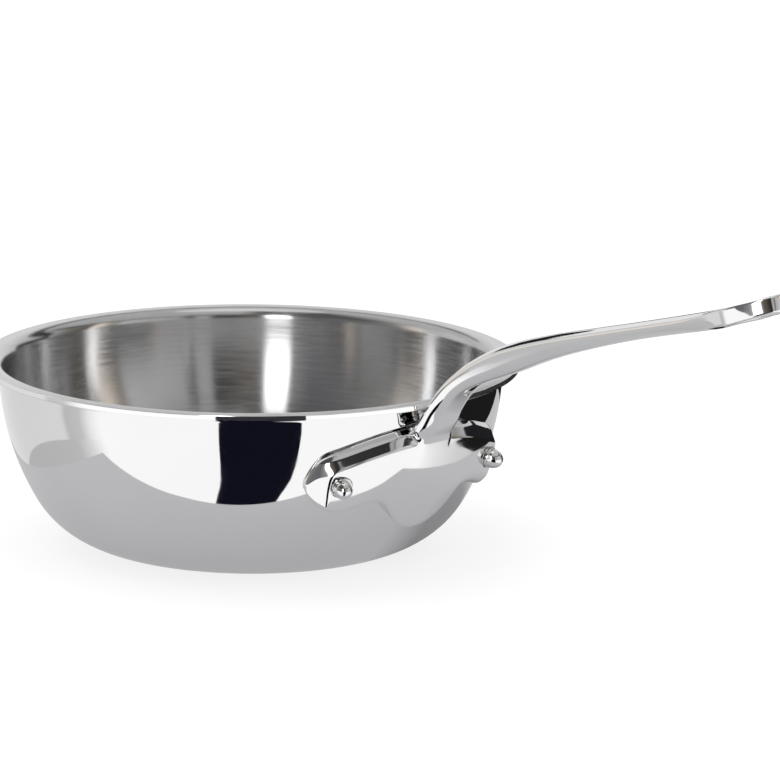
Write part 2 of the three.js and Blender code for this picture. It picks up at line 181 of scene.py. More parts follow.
# Finishes: darkest grey, lightest grey, roughness
MIRROR_FINISH = (0.80, 0.86, 0.035)
CAST_FINISH = (0.80, 0.86, 0.05)
RIVET_FINISH = (0.78, 0.85, 0.06)
ROUGHNESS_SPREAD = (0.6, 1.5)  # shares of it where the buffing is finest and coarsest
HAZE = (26, 3)  # scale, detail
BUFFING = (140, 4)
NOISE_RANGE = (0.3, 0.7)  # between which nearly all of a noise lies
SATIN_TINTS = ((0.55, 0.55, 0.55), (0.73, 0.73, 0.735))
SATIN_METAL = 0.97
SATIN_ROUGHNESS = (0.13, 0.20)
BRUSH_SPREAD = 7  # how often the brush marks change round the bowl
BRUSH_FINE = 1150  # and across them, for each metre
BRUSH_DETAIL = 5
BRUSH_TURN = 0.25  # turns its sheen to run along the marks
EDGE_POLISH = (0.5, 0.15)  # from the lip's edge in, in millimetres: where its polish starts and is full
EDGE_GREY = 0.9
EDGE_ROUGHNESS = 0.2  # share of the satin's roughness
BRUSH_BUMP = (0.03, 0.0002)  # strength, distance
ALUMINIUM_TINTS = ((0.68, 0.69, 0.70), (0.78, 0.79, 0.80))
ALUMINIUM_ROUGHNESS = (0.4, 0.55)
ALUMINIUM_GRAIN = (320, 5)  # scale, detail

# Camera, in metres and as directions
CAMERA_AT = (1.8099, -1.6456, 0.6074)
CAMERA_RIGHT = (0.6903, 0.7234, 0.0108)
CAMERA_UP = (-0.1619, 0.1400, 0.9768)
CAMERA_FORWARD = (-0.7051, 0.6761, -0.2138)
CAMERA_LENS = 248.08
CAMERA_CLIP = 100
SENSOR = 36.0

# Studio, in metres and degrees: rings of light panels, each stop an azimuth and a grey or a colour
GLOW = 4.0  # brightest level in the rings
RING_RADIUS = 1.4
RING_SEGMENTS = 96
RING_HEIGHTS = (-3.2, -0.55, 0.03, 0.95, 1.2, 4.6)  # from the lowest ring's foot to the top of the highest
LOW_RING = (
    (-180, 0.52), (-150, 0.54), (-130, 0.56), (-121, 0.8), (-113, 1.12), (38, 1.12), (48, 0.9),
    (60, 0.75), (90, 0.6), (124, 0.6), (180, 0.52),
)
RIM_RING = (
    (-180, 0.75), (-137, 0.78), (-133.5, 0.57), (-125, 0.62), (-119, 0.95), (-113, 1.12), (40, 1.12),
    (56, 0.76), (57, 0.7), (58.5, 0.012), (130, 0.012), (133, 0.9), (180, 0.75),
)
EYE_RING = (
    (-180, 0.55), (-165, 0.75), (-142, 0.66), (-134, (0.95, 0.87, 0.77)), (-129, (0.80, 0.73, 0.65)),
    (-120, (0.27, 0.27, 0.255)), (-98, 0.17), (-74, (0.145, 0.145, 0.16)), (-66, 0.28), (-63, 0.42),
    (-61, 3.8), (-51.5, 3.8), (-48.5, 0.32), (-45, (0.15, 0.13, 0.11)), (-29, (0.03, 0.026, 0.022)),
    (-24, 0.035), (-20.5, 0.46), (-15.5, 0.45), (-12.5, 0.18), (-9.5, 0.19), (-6.5, (0.48, 0.475, 0.49)),
    (25, 0.67), (30, (0.29, 0.265, 0.22)), (39.5, (1.2, 1.06, 0.92)), (42.5, (1.1, 0.97, 0.84)),
    (45, (0.12, 0.105, 0.085)), (60, (0.22, 0.2, 0.17)), (75, 0.52), (141, 0.88), (165, 0.7),
)
HIGH_RING = ((-180, 0.6), (-140, 0.5), (-110, 0.05), (82, 0.02), (95, 0.6), (180, 0.6))
TOP_RING = ((-180, 0.6), (-140, 0.5), (-105, 0.08), (-50, 0.08), (-36, 0.5), (100, 0.55), (180, 0.6))

# Dark flag in front of the pan and dark card on its right: height, azimuths of the left and right edges
CARD_RADIUS = RING_RADIUS - 0.03
CARD_STEPS = 8
FLAG_EDGES = (
    (0.03, -56.2, -20.3), (-0.40, -56.2, -19.8), (-0.80, -56.5, -20.4), (-1.05, -57.2, -21.6),
    (-1.22, -58.4, -23.4), (-1.40, -60.5, -25.5), (-1.75, -64.0, -28.5), (-3.2, -64.0, -28.5),
)
FLAG_BLACK = (0.006, 0.006, 0.013)
SIDE_EDGES = ((0.03, 72, 105), (0.45, 72, 105))
SIDE_BLACK = (0.015, 0.015, 0.018)

# Narrow dark strip behind the pan that draws the line along the handle's crown: X, lower and upper Z
STRIP_BACK = 0.20
STRIP_EDGES = (
    (-0.020, 0.132, 0.175), (-0.060, 0.165, 0.210), (-0.110, 0.196, 0.238), (-0.171, 0.226, 0.268),
    (-0.240, 0.262, 0.305), (-0.273, 0.272, 0.320), (-0.400, 0.305, 0.370), (-0.640, 0.400, 0.470),
)
STRIP_BLACK = (0.012, 0.012, 0.015)

# Small table under the pan: its corners ahead of the pan's axis and to its left as the camera sees it
TABLE_AHEAD = -48
TABLE_LEFT = -138
TABLE_LEVEL = -0.0008
TABLE_CORNERS = (
    (0.136, 0.163), (0.142, 0.04), (0.140, -0.07), (0.123, -0.119), (0.105, -0.171), (-0.02, -0.21),
    (-0.30, -0.22), (-0.30, 0.163),
)
TABLE_GREY = (0.16, 0.16, 0.165)
TABLE_ROUGHNESS = 0.9
TABLE_TINT = (1, 1, 1.02)
TABLE_GLOW = (0.19, 0.39)  # glow in the pan's painted soft shadow and away from it
TABLE_PAINTED_SHADOW_AT = (0.064, 0.077)  # middle of that painted shadow
TABLE_PAINTED_SHADOW_REACH = (0.040, 0.074)  # where the painted shadow is full and where it ends

# Floor, air and lamp
FLOOR_LEVEL = -0.001
FLOOR_SIZE = 40
FLOOR_GREY = 0.22
FLOOR_GLOW = 0.8
AIR_LIGHT = 0.9
LAMP_AT = (-0.3, -0.5, 2.6)
LAMP_SIZE = 2.4
LAMP_POWER = 30


def lip_height():
    lip_end = math.pi / 2 + LIP_RISE
    bend = LIP_BEND * math.sin(lip_end) - LIP_OUTER_BEND * math.sin(WALL_LEAN)
    flat = LIP_WIDTH - LIP_OUTER_BEND * math.cos(WALL_LEAN) - LIP_BEND * math.cos(lip_end)
    return bend + flat * math.tan(LIP_RISE)


WALL_TOP = BODY_HEIGHT - lip_height()
WALL_ARC = (WALL_TOP - JOIN_HEIGHT) / (math.sin(JOIN_LEAN) - math.sin(WALL_LEAN))
WALL_CENTRE = (
    RIM_RADIUS - WALL_ARC * math.cos(WALL_LEAN),
    WALL_TOP + WALL_ARC * math.sin(WALL_LEAN),
)
BASE_RADIUS = WALL_CENTRE[0] + (WALL_ARC - CORNER_RADIUS) * math.cos(JOIN_LEAN)
LIP_CENTRE = (
    RIM_RADIUS + LIP_OUTER_BEND * math.cos(WALL_LEAN),
    WALL_TOP - LIP_OUTER_BEND * math.sin(WALL_LEAN),
)


def wall_at(height):
    """Radius and lean of the wall's outside at a height."""
    if height >= JOIN_HEIGHT:
        lean = math.asin((WALL_CENTRE[1] - height) / WALL_ARC)
        return WALL_CENTRE[0] + WALL_ARC * math.cos(lean), lean
    lean = math.asin((CORNER_RADIUS - height) / CORNER_RADIUS)
    return BASE_RADIUS + CORNER_RADIUS * math.cos(lean), lean


def off_wall(along, height, out):
    """A point at a distance out from the wall; along is measured round the rim."""
    radius, lean = wall_at(height)
    reach = radius + out * math.cos(lean)
    angle = along / RIM_RADIUS
    return Vector((reach * math.cos(angle), reach * math.sin(angle), height - out * math.sin(lean)))


def arc(centre, radius, start, end, steps):
    points = []
    for i in range(steps + 1):
        turn = start + (end - start) * i / steps
        points.append((centre[0] + radius * math.cos(turn), centre[1] + radius * math.sin(turn)))
    return points


def bowl_line(depth, edge):
    """Section of the bowl at a depth below its outside, from the axis to the lip's edge."""
    corner = (BASE_RADIUS, CORNER_RADIUS)
    lip_start = math.pi - WALL_LEAN
    lip_end = math.pi / 2 + LIP_RISE
    points = [(0, depth)]
    points += arc(corner, CORNER_RADIUS - depth, -math.pi / 2, -JOIN_LEAN, CORNER_STEPS)
    points += arc(WALL_CENTRE, WALL_ARC - depth, -JOIN_LEAN, -WALL_LEAN, WALL_STEPS)[1:]
    points += arc(LIP_CENTRE, LIP_OUTER_BEND + depth, lip_start, lip_end, LIP_STEPS)[1:]
    radius, height = points[-1]
    points.append((edge, height + (edge - radius) * math.tan(LIP_RISE)))
    return points


def begin(name, start):
    """A new piece that is one point, ready to be extruded."""
    bpy.ops.object.select_all(action="DESELECT")
    bpy.ops.mesh.primitive_plane_add(size=MM)
    piece = bpy.context.object
    piece.name = name
    bpy.ops.object.mode_set(mode="EDIT")
    bpy.ops.mesh.select_mode(type="VERT")
    bpy.ops.mesh.select_all(action="SELECT")
    bpy.ops.mesh.merge(type="CENTER")
    bpy.ops.transform.translate(value=(start[0] * MM, 0, start[1] * MM))
    return piece


def spun(name, section, segments):
    """A round piece about Z from a section of (radius, height) points."""
    piece = begin(name, section[0])
    for before, after in zip(section, section[1:]):
        step = ((after[0] - before[0]) * MM, 0, (after[1] - before[1]) * MM)
        bpy.ops.mesh.extrude_region_move(TRANSFORM_OT_translate={"value": step})
    bpy.ops.mesh.select_all(action="SELECT")
    bpy.ops.mesh.spin(steps=segments, angle=2 * math.pi, center=(0, 0, 0), axis=(0, 0, 1))
    bpy.ops.mesh.select_all(action="SELECT")
    bpy.ops.mesh.remove_doubles(threshold=WELD * MM)
    bpy.ops.mesh.normals_make_consistent(inside=False)
    bpy.ops.object.mode_set(mode="OBJECT")
    bpy.ops.object.shade_smooth_by_angle(angle=SMOOTH_ANGLE)
    return piece


def eased(corner, before, after, ease):
    """Points that round a corner, with one more on each side that keeps the faces beside it flat."""
    corner = Vector(corner)
    back = (Vector(before) - corner).normalized() * ease
    ahead = (Vector(after) - corner).normalized() * ease
    points = (
        corner + back * EASE_SUPPORT,
        corner + back,
        corner + back * EASE_MIDDLE + ahead * EASE_MIDDLE,
        corner + ahead,
        corner + ahead * EASE_SUPPORT,
    )
    return [tuple(point) for point in points]


def bowl_sheet(name, depth, thick):
    """One of the hidden sheets, which end at the liner's hem."""
    edge = LIP_RADIUS - HEM - BOND_LINE
    section = bowl_line(depth, edge) + bowl_line(depth + thick, edge)[::-1]
    return spun(name, section, HIDDEN_SEGMENTS)


def bowl_outside(name):
    lower = bowl_line(0, LIP_RADIUS)
    upper = bowl_line(OUTER, LIP_RADIUS)[::-1]
    corner = eased(lower[-1], lower[-2], upper[0], EDGE_EASE)
    return spun(name, lower[:-1] + corner + upper, SEEN_SEGMENTS)


def bowl_liner(name):
    upper = bowl_line(SHEET, LIP_RADIUS)[::-1]
    lower = bowl_line(SHEET - LINER, LIP_RADIUS - HEM)
    heel = bowl_line(OUTER + BOND_LINE, LIP_RADIUS - HEM)[-1]
    foot = bowl_line(OUTER + BOND_LINE, LIP_RADIUS)[-1]
    corner = eased(upper[0], foot, upper[1], EDGE_EASE)
    return spun(name, lower + [heel, foot] + corner + upper[1:], SEEN_SEGMENTS)


def dome(radius, rise, base, steps):
    """Section of a low dome from its rim to its top."""
    points = []
    for i in range(steps + 1):
        turn = math.pi / 2 * i / steps
        points.append((radius * math.cos(turn), base + rise * math.sin(turn)))
    return points


def rivet(name, side):
    seat = PLATE_GAP + PLATE_THICK - RECESS_DEPTH + RIVET_CLEARANCE
    top = seat + RIVET_FLANGE_RISE
    inner = -SHEET - RIVET_INNER_SEAT
    groove, step = RIVET_DOME_FOOT
    inner_head = dome(RIVET_INNER_HEAD, RIVET_INNER_RISE, -inner, RIVET_INNER_STEPS)
    section = [(radius, -height) for radius, height in inner_head][::-1]
    section += [(RIVET_SHANK, inner), (RIVET_SHANK, seat), (RIVET_FLANGE, seat)]
    section += eased((RIVET_FLANGE, top), (RIVET_FLANGE, seat), (RIVET_DOME, top), RIVET_FLANGE_EASE)
    section += [(RIVET_DOME + groove, top)]
    section += dome(RIVET_DOME, RIVET_RISE - RIVET_FLANGE_RISE, top + step, RIVET_DOME_STEPS)
    piece = spun(name, section, RIVET_SEGMENTS)
    put_on_wall(piece, side)
    return piece


def put_on_wall(piece, side):
    """Turns a piece made round Z to stand off the wall at a rivet."""
    along = side * RIVET_ALONG
    foot = off_wall(along, RIVET_HEIGHT, 0)
    out = (off_wall(along, RIVET_HEIGHT, 1) - foot).normalized()
    turn = out.to_track_quat("Z", "Y").to_matrix().to_4x4()
    piece.data.transform(Matrix.Translation(foot * MM) @ turn)


def soft_lower(a, b):
    """The lower of two heights, with a round passage from one to the other."""
    if math.inf in (a, b):
        return min(a, b)
    overlap = max(NOTCH_BLEND - abs(a - b), 0)
    return min(a, b) - overlap ** 2 / (4 * NOTCH_BLEND)


def plate_lower(along):
    """Height of the plate's lower edge: a lobe, a notch and an ear."""
    lobe = math.inf
    if along < LOBE_RADIUS:
        lobe = BODY_HEIGHT - LOBE_DROP - math.sqrt(LOBE_RADIUS ** 2 - along ** 2)
    reach = EAR_LENGTH if along > RIVET_ALONG else EAR_RADIUS
    share = (along - RIVET_ALONG) / reach
    ear = math.inf
    if abs(share) < 1:
        ear = RIVET_HEIGHT - EAR_DROP - EAR_RADIUS * math.sqrt(1 - share ** 2)
    notch = BODY_HEIGHT - NOTCH_DROP if along < RIVET_ALONG else math.inf
    return soft_lower(soft_lower(lobe, notch), soft_lower(ear, notch))


def plate_upper(along):
    """Height of the plate's upper edge."""
    top = BODY_HEIGHT - PLATE_TOP_DROP
    shoulder = RIVET_HEIGHT + EAR_SHOULDER
    if along <= RIVET_ALONG:
        return top - (top - shoulder) * (along / RIVET_ALONG) ** 2
    fall = math.sqrt(1 - ((along - RIVET_ALONG) / EAR_LENGTH) ** 2)
    return RIVET_HEIGHT - EAR_DROP + (EAR_SHOULDER + EAR_DROP) * fall


def end_share(away):
    """Share of the plate's thickness that is left towards the ear's tip."""
    past = max(away - RIVET_ALONG - EAR_FLAT, 0) / (EAR_LENGTH - EAR_FLAT)
    return 1 - (1 - EAR_END) * past


def plate_point(column, row, layer):
    """Where a point of the flat layout lies on the plate."""
    away = PLATE_COLUMNS[abs(column)]
    along = math.copysign(away, column)
    lower = plate_lower(away)
    upper = plate_upper(away)
    bevel = min(PLATE_BEVEL, (upper - lower) * BEVEL_MOST)
    thick = PLATE_THICK * end_share(away)
    if layer == 1:
        return plate_side_point(along, row, lower, upper, bevel)
    top = upper - bevel if layer == LAYERS else upper
    edge = min(PLATE_EDGE_ROW, (top - lower) * EDGE_ROW_MOST)
    share = (row - 1) / (PLATE_ROWS - 1)
    height = lower if row == 0 else lower + edge + (top - lower - edge) * share
    if layer == LAYERS:
        if abs(column) == EAR_CORNER:
            along -= math.copysign(EAR_HOOK.get(row, 0), column)
        return off_wall(along, height, PLATE_GAP + thick)
    thin = PLATE_TOP_EDGE if row == PLATE_ROWS and abs(column) >= BAR_COLUMNS else 0
    return off_wall(along, height, PLATE_GAP + thin)


def plate_side_point(along, row, lower, upper, bevel):
    """A point half way through the plate: on its lower edge, on the ridge of its top or on an ear's tip."""
    share = end_share(abs(along))
    middle = PLATE_GAP + PLATE_THICK * share * PLATE_MIDDLE
    if row == 0:
        return off_wall(along, lower, middle)
    if row == PLATE_ROWS:
        ridge = PLATE_RIDGE * bevel / PLATE_BEVEL
        return off_wall(along, upper - ridge, PLATE_GAP + PLATE_RIDGE_THICK * share)
    height = lower + (upper - lower) * row / PLATE_ROWS
    return off_wall(along * PLATE_BULGE, height, middle)


def through(before, a, b, after, t):
    """A smooth curve through a and b."""
    mixed = []
    for p0, p1, p2, p3 in zip(before, a, b, after):
        slope = (p2 - p0) / 2
        slope_after = (p3 - p1) / 2
        rest = p2 - p1
        mixed.append(
            p1 + slope * t
            + (3 * rest - 2 * slope - slope_after) * t ** 2
            + (slope + slope_after - 2 * rest) * t ** 3
        )
    return tuple(mixed)


def bar_rings():
    """The stations of the whole bar, with more rings between those of the neck and the grip."""
    rings = []
    last = len(NECK_STATIONS) - 1
    for i in range(last):
        before = NECK_STATIONS[max(i - 1, 0)]
        after = NECK_STATIONS[i + 2] if i + 2 <= last else LOOP_STATIONS[1]
        for k in range(RINGS_PER_STATION):
            t = k / RINGS_PER_STATION
            rings.append(through(before, NECK_STATIONS[i], NECK_STATIONS[i + 1], after, t))
    rings.append(NECK_STATIONS[last])
    return rings + list(LOOP_STATIONS)


BAR_RINGS = bar_rings()
HOLE_RING = len(BAR_RINGS) - len(LOOP_STATIONS)
BAR_ROW = PLATE_ROWS + 1  # row of the bar's first ring in the flat layout


def bar_point(column, ring, layer):
    """Where a point of the flat layout lies on the bar."""
    reach, rise, depth, half = BAR_RINGS[ring]
    before = BAR_RINGS[max(ring - 1, 0)]
    after = BAR_RINGS[min(ring + 1, len(BAR_RINGS) - 1)]
    run = Vector((after[0] - before[0], after[1] - before[1])).normalized()
    place = (abs(column), layer)
    across, down = BAR_SECTION[place]
    if place in LOOP_SECTION:
        share = min(max(1 - (HOLE_RING - ring) / LOOP_EASE, 0), 1)
        loop_across, loop_down = LOOP_SECTION[place]
        across += (loop_across - across) * share
        down += (loop_down - down) * share
    side = math.copysign(half * across, column)
    hole = ring - HOLE_RING
    if abs(column) == 1 and layer != 1 and 0 <= hole < len(HOLE_HALVES):
        side = math.copysign(HOLE_HALVES[hole], column)
    radius = LIP_RADIUS + reach + run.y * depth * down
    height = BODY_HEIGHT + rise - run.x * depth * down
    return Vector((radius, side, height))


def pick_faces(piece, wanted):
    """Selects the faces whose middles are wanted, and starts to edit them."""
    for face in piece.data.polygons:
        face.select = wanted(face.center)
    for edge in piece.data.edges:
        edge.select = False
    for point in piece.data.vertices:
        point.select = False
    bpy.ops.object.mode_set(mode="EDIT")
    bpy.ops.mesh.select_mode(type="FACE")


def neck_root(middle):
    """True for the faces on the plate's top that the bar grows from."""
    inside = NEAR < middle.z < LAYERS - NEAR
    return inside and abs(middle.x) < BAR_COLUMNS and middle.y > PLATE_ROWS - NEAR


def hole_ends(middle):
    """True for the faces that the hanging hole opens on the loop's top and underside."""
    first = BAR_ROW + HOLE_RING
    last = first + len(HOLE_HALVES) - 1
    outside = middle.z < NEAR or middle.z > LAYERS - NEAR
    return outside and abs(middle.x) < 1 and first < middle.y < last


def flat_casting(name):
    """The handle as a flat layout of columns, rows and layers, with its hole."""
    bpy.ops.object.select_all(action="DESELECT")
    columns = len(PLATE_COLUMNS) - 1
    bpy.ops.mesh.primitive_grid_add(x_subdivisions=2 * columns, y_subdivisions=PLATE_ROWS, size=2)
    piece = bpy.context.object
    piece.name = name
    bpy.ops.object.mode_set(mode="EDIT")
    bpy.ops.mesh.select_all(action="SELECT")
    bpy.ops.transform.resize(value=(columns, PLATE_ROWS / 2, 1))
    bpy.ops.transform.translate(value=(0, PLATE_ROWS / 2, 0))
    for _ in range(LAYERS):
        bpy.ops.mesh.extrude_region_move(TRANSFORM_OT_translate={"value": (0, 0, 1)})
    bpy.ops.object.mode_set(mode="OBJECT")
    pick_faces(piece, neck_root)
    for _ in BAR_RINGS:
        bpy.ops.mesh.extrude_region_move(TRANSFORM_OT_translate={"value": (0, 1, 0)})
    bpy.ops.object.mode_set(mode="OBJECT")
    pick_faces(piece, hole_ends)
    bpy.ops.mesh.delete(type="FACE")
    bpy.ops.mesh.select_mode(type="EDGE")
    bpy.ops.mesh.select_all(action="DESELECT")
    bpy.ops.mesh.select_non_manifold()
    bpy.ops.mesh.bridge_edge_loops()
    turn_faces_out()
    return piece


def turn_faces_out():
    bpy.ops.mesh.select_all(action="SELECT")
    bpy.ops.mesh.normals_make_consistent(inside=False)
    bpy.ops.object.mode_set(mode="OBJECT")


def crease(a, b):
    """How crisp the edge between two points of the flat layout stays."""
    middle = (a + b) / 2
    away = abs(middle.x)
    along_bar = abs(a.y - b.y) > 0.5
    level = abs(a.z - b.z) < 0.5
    back = middle.z < NEAR
    front = middle.z > LAYERS - NEAR
    if level and along_bar and away > BAR_COLUMNS - NEAR:
        if back and middle.y > PLATE_ROWS:
            return CROWN_CREASE
        if front and middle.y > BAR_ROW + HOLE_RING - LOOP_EASE:
            return LOOP_CREASE
    if level and not along_bar and abs(a.y - PLATE_ROWS) < NEAR and away > BAR_COLUMNS + NEAR:
        return FACET_CREASES[round(middle.z)] * FACET_FADE.get(math.floor(away), 1)
    if back and middle.y < NEAR:
        return FOOT_CREASE
    if front and along_bar and middle.y < PLATE_ROWS and abs(away - EAR_CORNER) < NEAR:
        return EAR_CREASE
    return 0


def handle(name):
    piece = flat_casting(name)
    creases = piece.data.attributes.new("crease_edge", "FLOAT", "EDGE")
    for edge in piece.data.edges:
        a, b = (piece.data.vertices[i].co for i in edge.vertices)
        creases.data[edge.index].value = crease(a, b)
    for point in piece.data.vertices:
        column, row, layer = (round(value) for value in point.co)
        if row <= PLATE_ROWS:
            point.co = plate_point(column, row, layer) * MM
        else:
            point.co = bar_point(column, row - BAR_ROW, layer) * MM
    bpy.ops.object.mode_set(mode="EDIT")
    turn_faces_out()
    rounder = piece.modifiers.new("rounder", "SUBSURF")
    rounder.levels = ROUNDING_LEVELS
    rounder.render_levels = ROUNDING_LEVELS
    bpy.ops.object.modifier_apply(modifier=rounder.name)
    for side in (1, -1):
        sink_rivet(piece, side)
    bpy.ops.object.select_all(action="DESELECT")
    piece.select_set(True)
    bpy.context.view_layer.objects.active = piece
    bpy.ops.object.shade_smooth_by_angle(angle=SMOOTH_ANGLE)
    return piece


def sink_rivet(piece, side):
    """The flat round seat under a rivet's head."""
    floor = PLATE_GAP + PLATE_THICK - RECESS_DEPTH
    bore = [(0, floor), (RECESS_RADIUS - RECESS_EASE, floor), (RECESS_RADIUS, floor + RECESS_EASE)]
    bore += [(RECESS_RADIUS, floor + RECESS_REACH), (0, floor + RECESS_REACH)]
    cutter = spun("seat_cutter", bore, RECESS_SEGMENTS)
    put_on_wall(cutter, side)
    cut = piece.modifiers.new("seat", "BOOLEAN")
    cut.operation = "DIFFERENCE"
    cut.object = cutter
    bpy.context.view_layer.objects.active = piece
    bpy.ops.object.modifier_apply(modifier=cut.name)
    bpy.data.objects.remove(cutter)


def grey(level):
    return (level, level, level)


def node_set(name):
    """A new material, its nodes, its links and its shader."""
    material = bpy.data.materials.new(name)
    material.use_nodes = True
    nodes = material.node_tree.nodes
    return material, nodes, material.node_tree.links, nodes["Principled BSDF"]


def object_place(nodes):
    return nodes.new("ShaderNodeTexCoord").outputs["Object"]


def carried(nodes, links, source, before, after):
    """A value carried over from one range to another."""
    ramp = nodes.new("ShaderNodeMapRange")
    ramp.inputs["From Min"].default_value = before[0]
    ramp.inputs["From Max"].default_value = before[1]
    ramp.inputs["To Min"].default_value = after[0]
    ramp.inputs["To Max"].default_value = after[1]
    links.new(source, ramp.inputs["Value"])
    return ramp.outputs["Result"]


def tinted(nodes, links, source, dark, light):
    """A colour between a dark and a light one."""
    tint = nodes.new("ShaderNodeMix")
    tint.data_type = "RGBA"
    tint.inputs["A"].default_value = (*dark, 1)
    tint.inputs["B"].default_value = (*light, 1)
    links.new(source, tint.inputs["Factor"])
    return tint


def noisy(nodes, links, place, scale, detail):
    noise = nodes.new("ShaderNodeTexNoise")
    noise.inputs["Scale"].default_value = scale
    noise.inputs["Detail"].default_value = detail
    links.new(place, noise.inputs["Vector"])
    return noise.outputs["Fac"]


def worked_out(nodes, links, kind, operation, *sources):
    """A node of sums on values or vectors, with what comes in linked."""
    sums = nodes.new(kind)
    sums.operation = operation
    for socket, source in zip(sums.inputs, sources):
        links.new(source, socket)
    return sums


def polished_steel(name, finish):
    """Mirror-polished steel with a faint haze left by the buffing."""
    dark, light, rough = finish
    material, nodes, links, shader = node_set(name)
    place = object_place(nodes)
    haze = noisy(nodes, links, place, *HAZE)
    tint = tinted(nodes, links, haze, grey(dark), grey(light))
    links.new(tint.outputs["Result"], shader.inputs["Base Color"])
    shader.inputs["Metallic"].default_value = 1
    buffing = noisy(nodes, links, place, *BUFFING)
    spread = [rough * share for share in ROUGHNESS_SPREAD]
    dull = carried(nodes, links, buffing, NOISE_RANGE, spread)
    links.new(dull, shader.inputs["Roughness"])
    return material


def brush_marks(nodes, links):
    """Marks that run round the bowl's axis, and the distance from that axis."""
    parts = nodes.new("ShaderNodeSeparateXYZ")
    links.new(object_place(nodes), parts.inputs["Vector"])
    flat = nodes.new("ShaderNodeCombineXYZ")
    links.new(parts.outputs["X"], flat.inputs["X"])
    links.new(parts.outputs["Y"], flat.inputs["Y"])
    level = flat.outputs["Vector"]
    radius = worked_out(nodes, links, "ShaderNodeVectorMath", "LENGTH", level).outputs["Value"]
    heading = worked_out(nodes, links, "ShaderNodeVectorMath", "NORMALIZE", level).outputs["Vector"]
    spread = worked_out(nodes, links, "ShaderNodeVectorMath", "SCALE", heading)
    spread.inputs["Scale"].default_value = BRUSH_SPREAD
    run = worked_out(nodes, links, "ShaderNodeMath", "SUBTRACT", parts.outputs["Z"], radius)
    fine = worked_out(nodes, links, "ShaderNodeMath", "MULTIPLY", run.outputs["Value"])
    fine.inputs[1].default_value = BRUSH_FINE
    lift = nodes.new("ShaderNodeCombineXYZ")
    links.new(fine.outputs["Value"], lift.inputs["Z"])
    ends = (spread.outputs["Vector"], lift.outputs["Vector"])
    place = worked_out(nodes, links, "ShaderNodeVectorMath", "ADD", *ends)
    return noisy(nodes, links, place.outputs["Vector"], 1, BRUSH_DETAIL), radius


def brushed_steel(name):
    """Satin steel brushed round the axis, polished at the lip's edge."""
    material, nodes, links, shader = node_set(name)
    brush, radius = brush_marks(nodes, links)
    edge = [(LIP_RADIUS - inset) * MM for inset in EDGE_POLISH]
    polish = carried(nodes, links, radius, edge, (0, 1))
    buffed = tinted(nodes, links, polish, grey(0), grey(EDGE_GREY))
    satin_tint = tinted(nodes, links, brush, *SATIN_TINTS)
    links.new(satin_tint.outputs["Result"], buffed.inputs["A"])
    links.new(buffed.outputs["Result"], shader.inputs["Base Color"])
    shader.inputs["Metallic"].default_value = SATIN_METAL
    shader.inputs["Anisotropic"].default_value = 1
    shader.inputs["Anisotropic Rotation"].default_value = BRUSH_TURN
    tangent = nodes.new("ShaderNodeTangent")
    tangent.direction_type = "RADIAL"
    tangent.axis = "Z"
    links.new(tangent.outputs["Tangent"], shader.inputs["Tangent"])
    satin = carried(nodes, links, brush, NOISE_RANGE, SATIN_ROUGHNESS)
    smoother = carried(nodes, links, polish, (0, 1), (1, EDGE_ROUGHNESS))
    rough = worked_out(nodes, links, "ShaderNodeMath", "MULTIPLY", satin, smoother)
    links.new(rough.outputs["Value"], shader.inputs["Roughness"])
    bump = nodes.new("ShaderNodeBump")
    bump.inputs["Strength"].default_value = BRUSH_BUMP[0]
    bump.inputs["Distance"].default_value = BRUSH_BUMP[1]
    links.new(brush, bump.inputs["Height"])
    links.new(bump.outputs["Normal"], shader.inputs["Normal"])
    return material


def rolled_aluminium(name):
    material, nodes, links, shader = node_set(name)
    grain = noisy(nodes, links, object_place(nodes), *ALUMINIUM_GRAIN)
    tint = tinted(nodes, links, grain, *ALUMINIUM_TINTS)
    links.new(tint.outputs["Result"], shader.inputs["Base Color"])
    shader.inputs["Metallic"].default_value = 1
    dull = carried(nodes, links, grain, NOISE_RANGE, ALUMINIUM_ROUGHNESS)
    links.new(dull, shader.inputs["Roughness"])
    return material


def dress(piece, material, node):
    piece.data.materials.clear()
    piece.data.materials.append(material)
    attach(piece, "root")
    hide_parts(node)


def heading_point(azimuth, radius, height):
    turn = math.radians(azimuth)
    return Vector((radius * math.cos(turn), radius * math.sin(turn), height))


def only_reflected(thing):
    """A thing of the photo studio that only reflections see."""
    thing.visible_camera = False
    thing.visible_diffuse = False
    thing.visible_transmission = False
    thing.visible_volume_scatter = False
    thing.visible_shadow = False


def glow_set(name):
    """A material that only glows, its nodes, its links and its glow."""
    material, nodes, links, shader = node_set(name)
    nodes.remove(shader)
    glow = nodes.new("ShaderNodeEmission")
    links.new(glow.outputs["Emission"], nodes["Material Output"].inputs["Surface"])
    return material, nodes, links, glow


def ring_light(name, stops):
    """A glow that changes with the direction round the pan; stops are (azimuth, grey or colour)."""
    material, nodes, links, glow = glow_set(name)
    parts = nodes.new("ShaderNodeSeparateXYZ")
    links.new(object_place(nodes), parts.inputs["Vector"])
    level = (parts.outputs["Y"], parts.outputs["X"])
    turn = worked_out(nodes, links, "ShaderNodeMath", "ARCTAN2", *level)
    share = carried(nodes, links, turn.outputs["Value"], (-math.pi, math.pi), (0, 1))
    bands = nodes.new("ShaderNodeValToRGB")
    places = bands.color_ramp.elements
    for i, (azimuth, colour) in enumerate(stops):
        place = (azimuth + 180) / 360
        stop = places[i] if i < 2 else places.new(place)
        stop.position = place
        shade = colour if isinstance(colour, tuple) else grey(colour)
        stop.color = (*(part / GLOW for part in shade), 1)
    links.new(share, bands.inputs["Fac"])
    glow.inputs["Strength"].default_value = GLOW
    links.new(bands.outputs["Color"], glow.inputs["Color"])
    return material


def ring_wall(name, low, high, stops):
    wall = spun(name, [(RING_RADIUS / MM, low / MM), (RING_RADIUS / MM, high / MM)], RING_SEGMENTS)
    wall.data.materials.append(ring_light(name, stops))
    only_reflected(wall)


